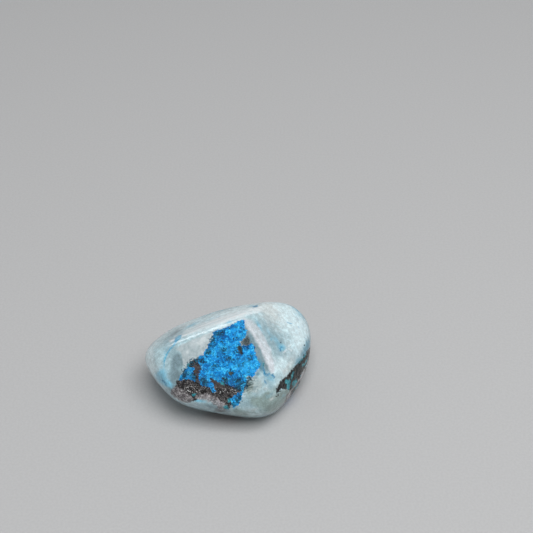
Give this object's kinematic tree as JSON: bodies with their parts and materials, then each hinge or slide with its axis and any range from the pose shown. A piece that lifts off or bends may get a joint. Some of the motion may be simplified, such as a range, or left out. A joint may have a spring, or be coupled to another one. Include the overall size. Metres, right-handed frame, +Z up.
{
  "type": "tumbled shattuckite stone",
  "caption": "Polished tumbled pebble of milky blue-grey quartz with bright blue shattuckite, a dark matrix band and softly worn faces, lying on its flat underside.",
  "frame": {"origin": "middle of the bottom of the stone's box, on the surface it rests on", "axes": "+X along the stone's length towards its blunt right end, +Y towards its back, +Z up, away from the flat it rests on"},
  "size_m": [0.0388, 0.0302, 0.0205],
  "materials": {
    "polished_quartz_shattuckite": "tumbled gloss polish over milky blue-grey quartz, with vivid blue shattuckite, turquoise specks and a dark brown-grey matrix band"
  },
  "bodies": {
    "root": {"tumbled_stone": "polished_quartz_shattuckite"}
  },
  "joints": []
}
